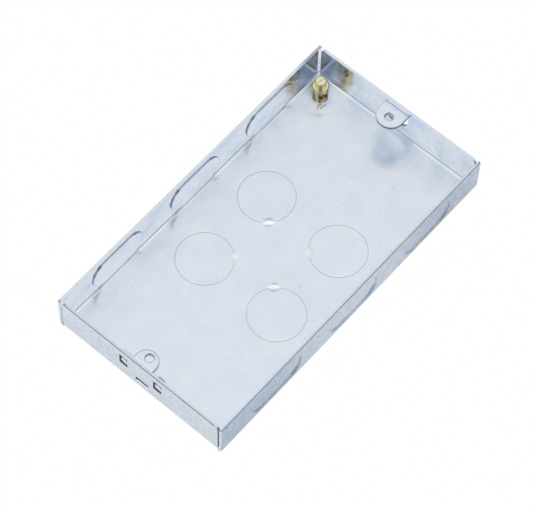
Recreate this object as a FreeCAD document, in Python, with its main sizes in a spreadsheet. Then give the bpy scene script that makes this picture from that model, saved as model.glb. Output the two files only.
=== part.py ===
"""Flush back box: a shallow two-gang tray folded from zinc-coated steel sheet.

Frame: millimetres, +Z up. The origin is the centre of the underside of the base.
+X runs along the length towards the fixed lug, and the earth terminal is in the +X +Y corner.
"""
import FreeCAD
import Part
import math
import os
import Sketcher

# Driving dimensions, in millimetres, and the two angles in degrees
SIZES = {
    # Folded tray
    "box_length": 131.0,
    "box_width": 70.4,
    "box_height": 16.0,
    "sheet": 1.0,
    "bend_inside": 0.5,
    "corner_relief": 0.15,
    "wall_corner": 1.6,
    # Round knockouts in the base
    "round_diameter": 20.0,
    "round_spacing": 31.6,
    "round_shift_x": 0.6,
    "round_shift_y": 0.45,
    "crease_width": 0.7,
    "crease_depth": 0.08,
    "shear_width": 0.25,
    "shear_under": 0.3,
    "tie_width": 4.0,
    "tie_bulge": 1.3,
    "tie_press": 0.12,
    # Long knockouts in the long walls, pushed inwards
    "long_length": 24.2,
    "long_height": 12.2,
    "long_pitch": 38.3,
    "long_level": 8.1,
    "long_push": 0.45,
    # Both screw lugs
    "lug_inset": 5.2,
    "lug_drop": 2.2,
    "lug_bend": 0.4,
    "lug_hole": 3.0,
    "lug_entry": 0.4,
    "collar_diameter": 5.2,
    "collar_drop": 0.8,
    "fixed_width": 10.2,
    "fixed_reach": 9.4,
    "sliding_width": 8.4,
    "sliding_reach": 7.8,
    # Back plate of the sliding lug
    "plate_width": 18.0,
    "shoulder_drop": 2.8,
    "relief_width": 0.6,
    "lug_gap": 0.08,
    "lug_travel": 0.8,
    "travel_margin": 0.2,
    # Windows, tongues and ledge that hold the sliding lug
    "window_width": 3.5,
    "window_height": 5.5,
    "window_drop": 5.55,
    "window_corner": 0.5,
    "window_spacing": 14.6,
    "window_shift": 0.5,
    "tongue_height": 2.0,
    "tongue_drop": 5.4,
    "tongue_length": 3.45,
    "tongue_root": 0.5,
    "tongue_bend": 0.2,
    "ledge_width": 5.5,
    "ledge_shift": 1.1,
    "ledge_drop": 12.35,
    "ledge_run": 0.2,
    "ledge_push": 0.5,
    "ledge_slit": 2.5,
    # Earth terminal
    "terminal_inset_x": 8.15,
    "terminal_inset_y": 7.65,
    "pillar_diameter": 5.9,
    "pillar_height": 7.0,
    "rim_diameter": 6.1,
    "rim_height": 1.4,
    "rim_edge": 0.35,
    "spigot_diameter": 3.6,
    "spigot_fit": 0.04,
    "wire_hole": 3.2,
    "wire_height": 4.2,
    "wire_turn": 30.0,
    "screw_diameter": 3.0,
    "screw_core": 2.6,
    "screw_fit": 0.05,
    "screw_length": 5.0,
    "bore_spare": 1.2,
    "head_diameter": 4.0,
    "head_height": 2.85,
    "head_edge": 0.3,
    "head_gap": 0.05,
    "slot_width": 0.6,
    "slot_depth": 0.8,
    "slot_turn": 15.0,
}


class Size:
    """A number together with the sheet expression that gives it."""

    def __init__(self, number, text):
        self.number = number
        self.text = text

    def __add__(self, other):
        other = as_size(other)
        return Size(self.number + other.number, f"({self.text} + {other.text})")

    def __sub__(self, other):
        other = as_size(other)
        return Size(self.number - other.number, f"({self.text} - {other.text})")

    def __mul__(self, other):
        other = as_size(other)
        return Size(self.number * other.number, f"({self.text} * {other.text})")

    def __truediv__(self, other):
        other = as_size(other)
        return Size(self.number / other.number, f"({self.text} / {other.text})")

    def __neg__(self):
        return Size(-self.number, f"(0 - {self.text})")

    def root(self):
        return Size(math.sqrt(self.number), f"sqrt({self.text})")


def as_size(value):
    return value if isinstance(value, Size) else Size(float(value), str(value))


def size(alias):
    return Size(SIZES[alias], f"sizes.{alias}")


ZERO = as_size(0)
QUARTER_TURN = Size(math.pi / 2, "(pi / 2)")
DIAGONAL = as_size(45)
FULL_TURN = 360.0

# Sketcher's numbers for its own axes and origin, and for the points of a curve
SKETCH_X, SKETCH_Y = range(-1, -3, -1)
START, END, CENTRE = range(1, 4)
ORIGIN_POINT = (SKETCH_X, START)

# Heights and half sizes that several pieces share
LENGTH_HALF = size("box_length") / 2
WIDTH_HALF = size("box_width") / 2
HEIGHT = size("box_height")
SHEET = size("sheet")
BEND_IN = size("bend_inside")
BEND_OUT = BEND_IN + SHEET
SHORT_HALF = WIDTH_HALF - BEND_OUT - size("corner_relief")
LUG_LEVEL = HEIGHT - size("lug_drop")
LUG_UNDER = LUG_LEVEL - SHEET
LUG_IN = size("lug_bend")
LUG_OUT = LUG_IN + SHEET
LUG_X = LENGTH_HALF - size("lug_inset")
WALL_X = -LENGTH_HALF
WALL_INNER_X = WALL_X + SHEET
PLATE_X = WALL_INNER_X + size("lug_gap")
PLATE_INNER_X = PLATE_X + SHEET
WINDOW_HALF = size("window_width") / 2
WINDOW_LEVEL = HEIGHT - size("window_drop")
TONGUE_BASE = HEIGHT - size("tongue_drop") - size("tongue_height") / 2
TONGUE_TOP = TONGUE_BASE + size("tongue_height")
LEDGE_LEVEL = HEIGHT - size("ledge_drop")
TERMINAL_X = LENGTH_HALF - size("terminal_inset_x")
TERMINAL_Y = WIDTH_HALF - size("terminal_inset_y")
PILLAR_TOP = SHEET + size("pillar_height")


# Document and sketch helpers


def new_sheet(doc):
    sheet = doc.addObject("Spreadsheet::Sheet", "sizes")
    for row, (alias, number) in enumerate(SIZES.items(), start=1):
        sheet.set(f"A{row}", alias)
        sheet.set(f"B{row}", str(number))
        sheet.setAlias(f"B{row}", alias)
    doc.recompute()


def new_body(doc, label):
    body = doc.addObject("PartDesign::Body", label)
    body.Label = label
    return body


def origin_feature(body, role):
    return next(item for item in body.Origin.OriginFeatures if item.Role == role)


def bind(item, path, value):
    item.setExpression(path, value.text)


def new_sketch(body, name, role, lift=ZERO, shift=ZERO, across=ZERO, axis=(0, 0, 1), turn=ZERO):
    """Sketch on an origin plane, moved along its normal by lift and in it by shift and across.

    It turns in degrees about an axis of the plane's own frame.
    """
    sketch = body.newObject("Sketcher::SketchObject", name)
    sketch.AttachmentSupport = [(origin_feature(body, role), "")]
    sketch.MapMode = "FlatFace"
    spot = FreeCAD.Vector(shift.number, across.number, lift.number)
    sketch.AttachmentOffset = FreeCAD.Placement(spot, FreeCAD.Rotation(FreeCAD.Vector(*axis), turn.number))
    bind(sketch, "AttachmentOffset.Base.x", shift)
    bind(sketch, "AttachmentOffset.Base.y", across)
    bind(sketch, "AttachmentOffset.Base.z", lift)
    bind(sketch, "AttachmentOffset.Rotation.Angle", turn)
    return sketch


def pin(sketch, kind, axis, curve, end, value):
    """Hold one coordinate of a point, measured from the sketch origin."""
    if value.text == ZERO.text:
        sketch.addConstraint(Sketcher.Constraint("PointOnObject", curve, end, axis))
        return
    if value.number < 0:
        rule = Sketcher.Constraint(kind, curve, end, *ORIGIN_POINT, -value.number)
        value = -value
    else:
        rule = Sketcher.Constraint(kind, *ORIGIN_POINT, curve, end, value.number)
    index = sketch.addConstraint(rule)
    bind(sketch, f"Constraints[{index}]", value)


def pin_point(sketch, curve, end, x, y):
    pin(sketch, "DistanceX", SKETCH_Y, curve, end, x)
    pin(sketch, "DistanceY", SKETCH_X, curve, end, y)


def arc_between(start, end, radius):
    """Short arc from start to end. A negative radius turns clockwise."""
    chord = end - start
    across = FreeCAD.Vector(-chord.y, chord.x, 0).normalize()
    rise = math.sqrt(radius * radius - chord.Length ** 2 / 4)
    centre = (start + end) / 2 + across * math.copysign(rise, radius)
    first, last = (start, end) if radius > 0 else (end, start)
    angles = [math.atan2(point.y - centre.y, point.x - centre.x) for point in (first, last)]
    ring = Part.Circle(centre, FreeCAD.Vector(0, 0, 1), abs(radius))
    return Part.ArcOfCircle(ring, angles[0], angles[1])


def bow_radius(half, rise):
    """Radius of an arc from its half chord and its rise."""
    return (half * half + rise * rise) / (rise * 2)


def outline(sketch, corners):
    """Closed profile. Each corner is (x, y) or (x, y, radius of the arc to the next corner)."""
    corners = [tuple(as_size(value) for value in corner) for corner in corners]
    points = [FreeCAD.Vector(corner[0].number, corner[1].number, 0) for corner in corners]
    pieces = []
    for place, corner in enumerate(corners):
        start = points[place]
        end = points[(place + 1) % len(points)]
        if len(corner) == 2:
            curve = sketch.addGeometry(Part.LineSegment(start, end))
            pieces.append((curve, START, END))
            continue
        radius = corner[2]
        curve = sketch.addGeometry(arc_between(start, end, radius.number))
        turned = radius.number < 0
        pieces.append((curve, END, START) if turned else (curve, START, END))
        index = sketch.addConstraint(Sketcher.Constraint("Radius", curve, abs(radius.number)))
        bind(sketch, f"Constraints[{index}]", -radius if turned else radius)
    for place, (curve, begin, finish) in enumerate(pieces):
        following, following_begin, _ = pieces[(place + 1) % len(pieces)]
        sketch.addConstraint(Sketcher.Constraint("Coincident", curve, finish, following, following_begin))
        pin_point(sketch, curve, begin, corners[place][0], corners[place][1])


def circle(sketch, x, y, radius):
    centre = FreeCAD.Vector(x.number, y.number, 0)
    curve = sketch.addGeometry(Part.Circle(centre, FreeCAD.Vector(0, 0, 1), radius.number))
    index = sketch.addConstraint(Sketcher.Constraint("Radius", curve, radius.number))
    bind(sketch, f"Constraints[{index}]", radius)
    pin_point(sketch, curve, CENTRE, x, y)


def rectangle(sketch, left, bottom, right, top):
    outline(sketch, [(left, bottom), (right, bottom), (right, top), (left, top)])


def rounded_rectangle(sketch, left, bottom, right, top, radius):
    outline(sketch, [
        (left + radius, bottom),
        (right - radius, bottom, radius),
        (right, bottom + radius),
        (right, top - radius, radius),
        (right - radius, top),
        (left + radius, top, radius),
        (left, top - radius),
        (left, bottom + radius, radius),
    ])


def obround(sketch, x, y, length, height):
    radius = height / 2
    straight = length / 2 - radius
    outline(sketch, [
        (x - straight, y - radius),
        (x + straight, y - radius, radius),
        (x + straight + radius, y, radius),
        (x + straight, y + radius),
        (x - straight, y + radius, radius),
        (x - straight - radius, y, radius),
    ])


def extrude(kind, sketch, length=None, both_ways=False, backwards=False):
    """Pad or Pocket of a sketch. Without a length a Pocket goes right through."""
    body = sketch.getParentGeoFeatureGroup()
    feature = body.newObject(f"PartDesign::{kind}", f"{sketch.Name}_{kind.lower()}")
    feature.Profile = sketch
    feature.SideType = "Symmetric" if both_ways else "One side"
    feature.Reversed = backwards
    if length is None:
        feature.Type = "ThroughAll"
    else:
        bind(feature, "Length", length)
    return feature


def revolve(kind, sketch):
    """Revolution or Groove of a sketch about its own vertical axis."""
    body = sketch.getParentGeoFeatureGroup()
    feature = body.newObject(f"PartDesign::{kind}", f"{sketch.Name}_{kind.lower()}")
    feature.Profile = sketch
    feature.ReferenceAxis = (sketch, ["V_Axis"])
    feature.Angle = FULL_TURN
    return feature


# Folded tray


def add_tray(body):
    """Base with long walls over the full length, and short walls folded up between them."""
    section = new_sketch(body, "long_fold", "YZ_Plane")
    outline(section, [
        (-WIDTH_HALF, HEIGHT),
        (-WIDTH_HALF, BEND_OUT, BEND_OUT),
        (BEND_OUT - WIDTH_HALF, ZERO),
        (WIDTH_HALF - BEND_OUT, ZERO, BEND_OUT),
        (WIDTH_HALF, BEND_OUT),
        (WIDTH_HALF, HEIGHT),
        (WIDTH_HALF - SHEET, HEIGHT),
        (WIDTH_HALF - SHEET, BEND_OUT, -BEND_IN),
        (WIDTH_HALF - BEND_OUT, SHEET),
        (BEND_OUT - WIDTH_HALF, SHEET, -BEND_IN),
        (SHEET - WIDTH_HALF, BEND_OUT),
        (SHEET - WIDTH_HALF, HEIGHT),
    ])
    extrude("Pad", section, size("box_length"), both_ways=True)

    base_ends = new_sketch(body, "base_ends", "XY_Plane", lift=SHEET)
    inner_y = WIDTH_HALF - BEND_OUT
    rectangle(base_ends, LENGTH_HALF - BEND_OUT, -inner_y, LENGTH_HALF, inner_y)
    rectangle(base_ends, -LENGTH_HALF, -inner_y, BEND_OUT - LENGTH_HALF, inner_y)
    extrude("Pocket", base_ends, SHEET)

    short_fold = new_sketch(body, "short_fold", "XZ_Plane")
    outline(short_fold, [
        (LENGTH_HALF - BEND_OUT, ZERO, BEND_OUT),
        (LENGTH_HALF, BEND_OUT),
        (LENGTH_HALF, HEIGHT),
        (LENGTH_HALF - SHEET, HEIGHT),
        (LENGTH_HALF - SHEET, BEND_OUT, -BEND_IN),
        (LENGTH_HALF - BEND_OUT, SHEET),
    ])
    outline(short_fold, [
        (-LENGTH_HALF, BEND_OUT, BEND_OUT),
        (BEND_OUT - LENGTH_HALF, ZERO),
        (BEND_OUT - LENGTH_HALF, SHEET, -BEND_IN),
        (SHEET - LENGTH_HALF, BEND_OUT),
        (SHEET - LENGTH_HALF, HEIGHT),
        (-LENGTH_HALF, HEIGHT),
    ])
    extrude("Pad", short_fold, SHORT_HALF * 2, both_ways=True)

    corners = new_sketch(body, "wall_corners", "YZ_Plane")
    radius = size("wall_corner")
    outline(corners, [
        (SHORT_HALF, HEIGHT),
        (SHORT_HALF - radius, HEIGHT, -radius),
        (SHORT_HALF, HEIGHT - radius),
    ])
    outline(corners, [
        (-SHORT_HALF, HEIGHT),
        (-SHORT_HALF, HEIGHT - radius, -radius),
        (radius - SHORT_HALF, HEIGHT),
    ])
    extrude("Pocket", corners, both_ways=True)


def add_round_knockouts(body):
    """Four blanks sheared in the base, each in a shallow crease, with a press mark at its tie."""
    radius = size("round_diameter") / 2
    middle_x = -size("round_shift_x")
    middle_y = -size("round_shift_y")
    arm = size("round_spacing") / 2

    crease = new_sketch(body, "crease", "XZ_Plane", lift=-(middle_y + arm), shift=middle_x + arm)
    crease_half = size("crease_width") / 2
    outline(crease, [
        (radius - crease_half, SHEET),
        (radius, SHEET - size("crease_depth")),
        (radius + crease_half, SHEET),
    ])
    crease_cut = revolve("Groove", crease)

    tie = new_sketch(body, "tie_mark", "XY_Plane", SHEET, middle_x, middle_y, turn=DIAGONAL)
    centre_x = arm * as_size(2).root()
    half = size("tie_width") / 2
    side_x = centre_x - (radius * radius - half * half).root()
    outer_x = centre_x - radius - size("tie_bulge")
    inner_x = centre_x - radius + size("tie_bulge")
    outer_radius = bow_radius(half, side_x - outer_x)
    inner_radius = bow_radius(half, inner_x - side_x)
    outline(tie, [
        (side_x, half, outer_radius),
        (outer_x, ZERO, outer_radius),
        (side_x, -half, inner_radius),
        (inner_x, ZERO, inner_radius),
    ])
    tie_cut = extrude("Pocket", tie, size("tie_press"))

    under = new_sketch(body, "shear_line_under", "XY_Plane", ZERO, middle_x, middle_y, turn=DIAGONAL)
    circle(under, centre_x, ZERO, radius)
    circle(under, centre_x, ZERO, radius + size("shear_width"))
    under_cut = extrude("Pocket", under, size("shear_under"), backwards=True)

    pattern = body.newObject("PartDesign::PolarPattern", "round_knockouts")
    pattern.Originals = [crease_cut, tie_cut, under_cut]
    pattern.Axis = (tie, ["N_Axis"])
    pattern.Angle = FULL_TURN
    pattern.Occurrences = 4
    body.Tip = pattern


def add_long_knockouts(body):
    """Three obround blanks in each long wall, pushed part of the sheet's thickness inwards."""
    inner_y = WIDTH_HALF - SHEET
    for name, side in (("left", 1), ("right", -1)):
        outside = new_sketch(body, f"{name}_blanks_outside", "XZ_Plane", lift=WIDTH_HALF * -side)
        inside = new_sketch(body, f"{name}_blanks_inside", "XZ_Plane", lift=inner_y * -side)
        for sketch in (outside, inside):
            for step in (-1, 0, 1):
                middle = size("long_pitch") * step
                obround(sketch, middle, size("long_level"), size("long_length"), size("long_height"))
        extrude("Pocket", outside, size("long_push"), backwards=side > 0)
        extrude("Pad", inside, size("long_push"), backwards=side < 0)


# Screw lugs


def add_lug_tab(body, name, root_x, tip_x, width):
    """Flat tab with a half-round end, from its bend line to its tip."""
    half = width / 2
    inward = 1 if tip_x.number > root_x.number else -1
    round_x = tip_x - half * inward
    tab = new_sketch(body, name, "XY_Plane", lift=LUG_LEVEL)
    outline(tab, [
        (root_x, half * -inward),
        (round_x, half * -inward, half),
        (tip_x, ZERO, half),
        (round_x, half * inward),
        (root_x, half * inward),
    ])
    extrude("Pad", tab, SHEET, backwards=True)


def add_lug_hole(body, centre_x):
    """Screw hole with a drawn collar under the tab and a rounded entry on top."""
    bottom = LUG_UNDER - size("collar_drop")
    collar = new_sketch(body, f"{body.Name}_collar", "XZ_Plane", shift=centre_x)
    rectangle(collar, ZERO, bottom, size("collar_diameter") / 2, LUG_LEVEL - SHEET / 2)
    revolve("Revolution", collar)

    radius = size("lug_hole") / 2
    entry = size("lug_entry")
    hole = new_sketch(body, f"{body.Name}_hole", "XZ_Plane", shift=centre_x)
    outline(hole, [
        (ZERO, LUG_LEVEL),
        (ZERO, bottom),
        (radius, bottom),
        (radius, LUG_LEVEL - entry, -entry),
        (radius + entry, LUG_LEVEL),
    ])
    revolve("Groove", hole)


def add_fixed_lug(body):
    """D-shaped tab cut from the +X wall and folded inwards about its top edge."""
    width = size("fixed_width")
    half = width / 2
    fold_x = LENGTH_HALF - SHEET - LUG_IN
    fold_top = LUG_LEVEL + LUG_IN
    tip_x = LENGTH_HALF - size("fixed_reach")
    unfolded = fold_x - tip_x + QUARTER_TURN * (LUG_IN + SHEET / 2)
    round_z = fold_top - unfolded + half

    window = new_sketch(body, "fixed_lug_window", "YZ_Plane", lift=LENGTH_HALF)
    outline(window, [
        (-half, fold_top),
        (-half, round_z, half),
        (ZERO, round_z - half, half),
        (half, round_z),
        (half, fold_top),
    ])
    extrude("Pocket", window, SHEET)

    fold = new_sketch(body, "fixed_lug_fold", "XZ_Plane")
    outline(fold, [
        (fold_x, LUG_UNDER, LUG_OUT),
        (LENGTH_HALF, fold_top),
        (LENGTH_HALF - SHEET, fold_top, -LUG_IN),
        (fold_x, LUG_LEVEL),
    ])
    extrude("Pad", fold, width, both_ways=True)

    add_lug_tab(body, "fixed_lug_tab", fold_x, tip_x, width)
    add_lug_hole(body, LUG_X)


def window_edges():
    """Edges nearest -Y of the two windows in the -X wall."""
    half_spacing = size("window_spacing") / 2
    middle = -size("window_shift")
    return [middle - half_spacing - WINDOW_HALF, middle + half_spacing - WINDOW_HALF]


def add_tongues(body):
    """Two windows, each with a tongue that steps inwards by one sheet and lies along the wall."""
    half_height = size("window_height") / 2
    windows = new_sketch(body, "tongue_windows", "YZ_Plane", lift=WALL_X)
    for edge in window_edges():
        rounded_rectangle(
            windows,
            edge,
            WINDOW_LEVEL - half_height,
            edge + size("window_width"),
            WINDOW_LEVEL + half_height,
            size("window_corner"),
        )
    extrude("Pocket", windows, SHEET, backwards=True)

    root = size("tongue_root")
    bend = size("tongue_bend")
    step_x = PLATE_INNER_X + size("lug_gap")
    tongues = new_sketch(body, "tongues", "XY_Plane", lift=TONGUE_BASE)
    for edge in window_edges():
        leg_near = edge + root
        leg_far = leg_near + SHEET
        free_end = edge + size("tongue_length")
        outline(tongues, [
            (WALL_X, edge),
            (WALL_INNER_X, edge, -root),
            (WALL_INNER_X + root, leg_near),
            (step_x - bend, leg_near, bend + SHEET),
            (step_x + SHEET, leg_far + bend),
            (step_x + SHEET, free_end),
            (step_x, free_end),
            (step_x, leg_far + bend, -bend),
            (step_x - bend, leg_far),
            (WALL_INNER_X + root, leg_far, root + SHEET),
        ])
    extrude("Pad", tongues, size("tongue_height"))


def add_ledge(body):
    """Slot in the -X wall whose lower lip is pushed inwards to carry the sliding lug."""
    level = LEDGE_LEVEL
    width = size("ledge_width")
    middle = -size("ledge_shift")
    slit = new_sketch(body, "ledge_slit", "YZ_Plane", lift=WALL_X)
    rectangle(slit, middle - width / 2, level, middle + width / 2, level + size("ledge_slit"))
    extrude("Pocket", slit, SHEET, backwards=True)
    for kind, face_x in (("Pocket", WALL_X), ("Pad", WALL_INNER_X)):
        lip = new_sketch(body, f"ledge_lip_{kind.lower()}", "XZ_Plane", lift=-middle)
        outline(lip, [
            (face_x, level - size("ledge_run")),
            (face_x + size("ledge_push"), level),
            (face_x, level),
        ])
        extrude(kind, lip, width, both_ways=True)


def make_box_body(doc):
    body = new_body(doc, "box_body")
    add_tray(body)
    add_round_knockouts(body)
    add_long_knockouts(body)
    add_fixed_lug(body)
    add_tongues(body)
    add_ledge(body)
    spigot = new_sketch(body, "spigot_hole", "XY_Plane", lift=SHEET)
    circle(spigot, TERMINAL_X, TERMINAL_Y, size("spigot_diameter") / 2)
    extrude("Pocket", spigot, SHEET)
    return body


def make_adjustable_lug(doc):
    """Plate behind the tongues, with a round tab folded inwards at its top."""
    body = new_body(doc, "adjustable_lug")
    gap = size("lug_gap")
    room = size("lug_travel") + size("travel_margin")
    plate_half = size("plate_width") / 2
    tab_half = size("sliding_width") / 2
    relief_y = tab_half + size("relief_width")
    shoulder = HEIGHT - size("shoulder_drop")
    bottom = LEDGE_LEVEL + gap
    fold_x = PLATE_INNER_X + LUG_IN
    fold_z = LUG_UNDER - LUG_IN
    right_edge, left_edge = window_edges()
    leg_end = size("tongue_root") + SHEET
    notch_low = TONGUE_BASE - gap
    notch_high = TONGUE_TOP + gap
    notch_end = right_edge + leg_end + room

    plate = new_sketch(body, "plate", "YZ_Plane", lift=PLATE_X)
    outline(plate, [
        (-plate_half, bottom),
        (plate_half, bottom),
        (plate_half, shoulder),
        (relief_y, shoulder),
        (relief_y, fold_z),
        (-relief_y, fold_z),
        (-relief_y, shoulder),
        (-plate_half, shoulder),
        (-plate_half, notch_high),
        (notch_end, notch_high),
        (notch_end, notch_low),
        (-plate_half, notch_low),
    ])
    rectangle(plate, left_edge + size("tongue_bend") - room, notch_low, left_edge + leg_end + room, notch_high)
    extrude("Pad", plate, SHEET)

    fold = new_sketch(body, "sliding_fold", "XZ_Plane")
    outline(fold, [
        (fold_x, LUG_LEVEL, LUG_OUT),
        (PLATE_X, fold_z),
        (PLATE_INNER_X, fold_z, -LUG_IN),
        (fold_x, LUG_UNDER),
    ])
    extrude("Pad", fold, size("sliding_width"), both_ways=True)

    add_lug_tab(body, "sliding_tab", fold_x, WALL_X + size("sliding_reach"), size("sliding_width"))
    add_lug_hole(body, -LUG_X)
    return body


# Earth terminal


def place_terminal(body):
    bind(body, "Placement.Base.x", TERMINAL_X)
    bind(body, "Placement.Base.y", TERMINAL_Y)


def make_terminal_pillar(doc):
    """Round pillar with a rim, a foot staked in the base and a cross hole for the wire."""
    body = new_body(doc, "terminal_pillar")
    spigot = size("spigot_diameter") / 2 - size("spigot_fit")
    waist = size("pillar_diameter") / 2
    rim = size("rim_diameter") / 2
    rim_low = PILLAR_TOP - size("rim_height")
    edge = size("rim_edge")
    bore = size("screw_diameter") / 2 + size("screw_fit")
    bore_end = PILLAR_TOP - size("screw_length") - size("bore_spare")
    profile = new_sketch(body, "pillar_profile", "XZ_Plane")
    outline(profile, [
        (ZERO, ZERO),
        (spigot, ZERO),
        (spigot, SHEET),
        (waist, SHEET),
        (waist, rim_low),
        (rim, rim_low),
        (rim, PILLAR_TOP - edge),
        (rim - edge, PILLAR_TOP),
        (bore, PILLAR_TOP),
        (bore, bore_end),
        (ZERO, bore_end),
    ])
    revolve("Revolution", profile)

    wire = new_sketch(body, "wire_hole", "XZ_Plane", axis=(0, -1, 0), turn=size("wire_turn"))
    circle(wire, ZERO, SHEET + size("wire_height"), size("wire_hole") / 2)
    extrude("Pocket", wire, both_ways=True)
    place_terminal(body)
    return body


def make_terminal_screw(doc):
    """Slotted cheese-head screw that clamps the wire. Its shank has the core size of its thread."""
    body = new_body(doc, "terminal_screw")
    shank = size("screw_core") / 2
    head = size("head_diameter") / 2
    head_low = PILLAR_TOP + size("head_gap")
    head_top = head_low + size("head_height")
    edge = size("head_edge")
    profile = new_sketch(body, "screw_profile", "XZ_Plane")
    outline(profile, [
        (ZERO, PILLAR_TOP - size("screw_length")),
        (shank, PILLAR_TOP - size("screw_length")),
        (shank, head_low),
        (head, head_low),
        (head, head_top - edge),
        (head - edge, head_top),
        (ZERO, head_top),
    ])
    revolve("Revolution", profile)

    slot = new_sketch(body, "driver_slot", "XY_Plane", lift=head_top, axis=(0, 0, -1), turn=size("slot_turn"))
    half = size("slot_width") / 2
    rectangle(slot, -head, -half, head, half)
    extrude("Pocket", slot, size("slot_depth"))
    place_terminal(body)
    return body


# Checks and files


def check_features(body):
    """Every cut takes material away and every added feature brings some."""
    removing = ("PartDesign::Pocket", "PartDesign::Groove", "PartDesign::PolarPattern")
    volume = 0.0
    for feature in body.Group:
        if not feature.isDerivedFrom("PartDesign::Feature"):
            continue
        change = feature.Shape.Volume - volume
        volume = feature.Shape.Volume
        if (change < 0) != (feature.TypeId in removing):
            raise RuntimeError(f"{feature.Name} changes the volume by {change:.3f} mm3")


def check_document(doc, bodies):
    for item in doc.Objects:
        if "Invalid" in item.State or "Error" in item.State:
            raise RuntimeError(f"{item.Name} did not build: {item.State}")
    for body in bodies:
        if body.Shape.isNull() or not body.Shape.isValid() or len(body.Shape.Solids) != 1:
            raise RuntimeError(f"{body.Label} is not one valid solid")
        check_features(body)


def main():
    doc = FreeCAD.newDocument("flush_back_box")
    new_sheet(doc)
    makers = (make_box_body, make_adjustable_lug, make_terminal_pillar, make_terminal_screw)
    bodies = [make(doc) for make in makers]
    doc.recompute()
    check_document(doc, bodies)
    os.makedirs("parts", exist_ok=True)
    for body in bodies:
        body.Shape.exportStep(f"parts/{body.Label}.step")
        print(f"{body.Label}: {body.Shape.Volume:.1f} mm3")


main()
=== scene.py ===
"""Looks of the flush back box: bright zinc-coated sheet steel and a turned brass earth terminal.

Objects are in metres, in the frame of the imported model: +X towards the fixed lug, +Z out of the open side.
Places and sizes of marks and new pieces are written in millimetres.
"""
import math
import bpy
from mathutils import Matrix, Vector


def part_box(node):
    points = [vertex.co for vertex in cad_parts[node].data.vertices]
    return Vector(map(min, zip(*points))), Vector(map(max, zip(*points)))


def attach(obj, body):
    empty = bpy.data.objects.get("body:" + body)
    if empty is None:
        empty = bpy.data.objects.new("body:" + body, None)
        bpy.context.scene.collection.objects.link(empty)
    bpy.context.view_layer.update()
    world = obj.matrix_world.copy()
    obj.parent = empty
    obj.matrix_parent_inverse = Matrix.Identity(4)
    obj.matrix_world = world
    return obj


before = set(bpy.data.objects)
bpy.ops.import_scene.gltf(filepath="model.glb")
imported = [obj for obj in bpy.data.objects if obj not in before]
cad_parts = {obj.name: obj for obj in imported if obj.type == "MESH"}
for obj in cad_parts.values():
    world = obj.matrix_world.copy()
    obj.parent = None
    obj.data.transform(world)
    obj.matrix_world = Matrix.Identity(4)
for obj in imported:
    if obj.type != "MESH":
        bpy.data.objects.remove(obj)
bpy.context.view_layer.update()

from types import SimpleNamespace

import bpy
from mathutils import Matrix, Vector

MM = 0.001
DIAGONAL = math.sqrt(0.5)
WHITE = (1.0, 1.0, 1.0, 1.0)

# Camera, as the photograph was taken
CAMERA_AIM = Vector((-1.03, 1.40, 0.0)) * MM
CAMERA_DISTANCE = 861.5 * MM
CAMERA_AZIMUTH = math.radians(-50.994)
CAMERA_ELEVATION = math.radians(61.66)
CAMERA_ROLL = math.radians(2.069)
CAMERA_LENS = 174.31
SENSOR_WIDTH = 36.0

# Surroundings: bright overhead, dim at the horizon, dark round the camera
OVERHEAD_COLOUR = WHITE
OVERHEAD_FROM = math.radians(62.0)
SKY_COLOUR = (0.78, 0.825, 0.89, 1.0)
HORIZON_COLOUR = (0.30, 0.345, 0.41, 1.0)
HORIZON_FROM = math.radians(18.0)
HORIZON_TOP = math.radians(54.0)
DARK_COLOUR = (0.14, 0.20, 0.29, 1.0)
DARK_ELEVATION = math.radians(52.0)
DARK_CORE = math.radians(14.0)
DARK_EDGE = math.radians(28.0)
FLOOR_SIZE = 6.0
FLOOR_COLOUR = (0.93, 0.95, 0.97, 1.0)
FLOOR_WHITE_SEEN = 0.995
FLOOR_WHITE_MIRRORED = 0.5

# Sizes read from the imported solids
BOX_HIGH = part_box("box_body")[1] / MM
END_X = BOX_HIGH.x
SIDE_Y = BOX_HIGH.y
RIM_Z = BOX_HIGH.z
TERMINAL = sum((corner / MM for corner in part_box("terminal_screw")), Vector()) / 2
LUG_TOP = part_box("adjustable_lug")[1].z / MM
PILLAR_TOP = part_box("terminal_pillar")[1].z / MM
SCREW_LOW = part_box("terminal_screw")[0].z / MM

# Sizes that the solids were drawn to
SHEET = 1.0
BEND = 1.6
BLANKS_MIDDLE = (-0.6, -0.45, 0.0)
TIE_FROM_MIDDLE = 12.35
LONG_PITCH, LONG_LEVEL, LONG_STRAIGHT, LONG_RADIUS = 38.3, 8.1, 6.0, 6.1
LIP_Z = 3.65
TONGUE_TOP, TONGUE_HEIGHT = 11.6, 2.1
WINDOW_EDGES = (-9.55, 5.05)
SLIDING_MIDDLE, SLIDING_RADIUS = 61.9, 4.2
FIXED_MIDDLE, FIXED_RADIUS = 61.2, 5.1
LUG_HOLE_X = 60.3

# Where cut faces are looked for: depths from the outside of the walls, and other limits
SLACK = 0.05
BASE_BELOW = 1.5 * SHEET
END_WALL_DEPTH = 2.1
SIDE_WALL_DEPTH = 1.6
INNER_FACE_DEPTH = 1.22
CORNER_DEPTH = 1.1
CORNER_GAP = (33.3, 33.7)
END_CUTS_REACH = 14.0
END_CUTS_TOP = 12.7
LUG_SIDES_FROM = 12.75
LUG_HOLE_REACH = 2.1
LUG_HOLE_DEPTH = 3.0
TONGUE_TOP_REACH = 3.3
FAR_CORNER_X = (50.0, 58.0)
# Width of the painted shade along the outer edge of the near rims
RIM_SHADE_WIDTH = (0.3, 0.6)
LIP_WIDTH, LIP_OVER, LIP_UNDER = 0.6, 0.02, 0.25

# Bounds on a component of the normal
EDGEWISE = (0.45, 0.65)
FLAT_FACING = (0.8, 0.95)
UPRIGHT_FACING = (0.6, 0.8)
LIT_FACING = (-0.8, -0.3)
DOWN_FACING = -0.3
HALF_FACING = 0.5
CORNER_FACING = 0.6
WALL_FACING = 0.7
LEVEL_FACING = 0.9

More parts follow.
